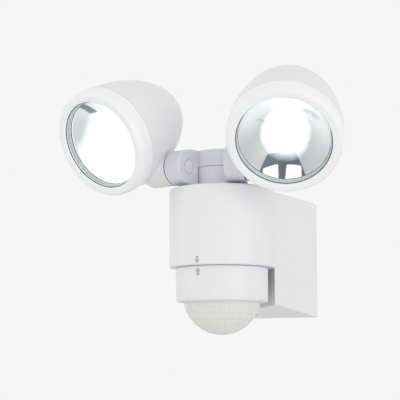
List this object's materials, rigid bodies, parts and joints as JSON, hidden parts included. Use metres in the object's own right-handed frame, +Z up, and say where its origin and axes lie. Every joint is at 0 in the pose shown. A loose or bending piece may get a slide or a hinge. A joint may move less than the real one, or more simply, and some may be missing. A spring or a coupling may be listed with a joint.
{
  "type": "motion sensor security light",
  "caption": "Wall-held security light: two egg-shaped lamp heads on swivel arms above a housing with a rotating dome motion sensor below.",
  "frame": {"origin": "centre of the wall face, midway between the four fixing screws", "axes": "+X to the right when facing the light, +Y into the wall, +Z up; the light stands off the wall towards -Y"},
  "size_m": [0.2297, 0.1975, 0.1973],
  "materials": {
    "white_plastic": "satin white moulded plastic",
    "lens_plastic": "milky translucent lens plastic",
    "black_plastic": "black moulded plastic",
    "dark_rubber": "dark rubber and foam",
    "lamp_glass": "clear flat glass",
    "reflector_metal": "bright spun reflector",
    "sink_metal": "plain die-cast",
    "led_phosphor": "yellow phosphor",
    "circuit_board": "green solder mask",
    "steel": "zinc-plated",
    "brass": "plain"
  },
  "bodies": {
    "housing": {"wall_plate": "white_plastic", "wall_gasket": "dark_rubber", "housing_shell": "white_plastic", "housing_screw": "steel", "cable_grommet": "dark_rubber", "terminal_block": "white_plastic", "terminal_screws": "brass", "driver_board": "circuit_board", "driver_transformer": "black_plastic", "driver_capacitors": "black_plastic", "control_board": "circuit_board", "adjuster_pots": "black_plastic", "pivot_spindle": "steel", "pivot_nut": "steel", "pivot_washers": "dark_rubber", "pivot_cap": "white_plastic"},
    "time_knob": {"time_knob": "white_plastic"},
    "lux_knob": {"lux_knob": "white_plastic"},
    "sensor": {"sensor_ring": "white_plastic", "sensor_clip": "black_plastic", "dome_lens": "lens_plastic", "lens_retainer": "black_plastic", "sensor_board": "circuit_board", "sensor_screws": "steel", "pyro_sensor": "steel", "light_sensor": "lens_plastic"},
    "left_arm": {"left_arm": "white_plastic", "left_tilt_tube": "steel", "left_tilt_nuts": "steel", "left_tilt_washer": "dark_rubber", "left_screw_cap": "white_plastic"},
    "left_head": {"left_bezel": "white_plastic", "left_rear_shell": "white_plastic", "left_boss": "white_plastic", "left_glass": "lamp_glass", "left_glass_seal": "dark_rubber", "left_reflector": "reflector_metal", "left_led_chip": "led_phosphor", "left_led_board": "circuit_board", "left_heat_sink": "sink_metal", "left_head_screws": "steel"},
    "right_arm": {"right_arm": "white_plastic", "right_tilt_tube": "steel", "right_tilt_nuts": "steel", "right_tilt_washer": "dark_rubber", "right_screw_cap": "white_plastic"},
    "right_head": {"right_bezel": "white_plastic", "right_rear_shell": "white_plastic", "right_boss": "white_plastic", "right_glass": "lamp_glass", "right_glass_seal": "dark_rubber", "right_reflector": "reflector_metal", "right_led_chip": "led_phosphor", "right_led_board": "circuit_board", "right_heat_sink": "sink_metal", "right_head_screws": "steel"}
  },
  "joints": [
    {"name": "right_arm_pan", "type": "hinge", "parent": "housing", "child": "right_arm", "pos_m": [0, -0.112, 0.056], "axis": [0, 0, 1], "range_deg": [-17, 31]},
    {"name": "left_arm_pan", "type": "hinge", "parent": "housing", "child": "left_arm", "pos_m": [0, -0.112, 0.069], "axis": [0, 0, -1], "range_deg": [-15, 33]},
    {"name": "right_head_tilt", "type": "hinge", "parent": "right_arm", "child": "right_head", "pos_m": [0.00819, -0.13878, 0.0625], "axis": [-0.9563, -0.2924, 0], "range_deg": [-47, 63]},
    {"name": "left_head_tilt", "type": "hinge", "parent": "left_arm", "child": "left_head", "pos_m": [-0.00725, -0.13905, 0.0625], "axis": [-0.9659, 0.2588, 0], "range_deg": [-57.5, 52.5]},
    {"name": "sensor_pan", "type": "hinge", "parent": "housing", "child": "sensor", "pos_m": [0, -0.112, -0.013], "axis": [0, 0, 1], "range_deg": [-90, 90]},
    {"name": "time_knob_turn", "type": "hinge", "parent": "housing", "child": "time_knob", "pos_m": [-0.015, -0.027, -0.04], "axis": [0, 0, 1], "range_deg": [-135, 135]},
    {"name": "lux_knob_turn", "type": "hinge", "parent": "housing", "child": "lux_knob", "pos_m": [-0.027, -0.027, -0.04], "axis": [0, 0, 1], "range_deg": [-135, 135]}
  ]
}
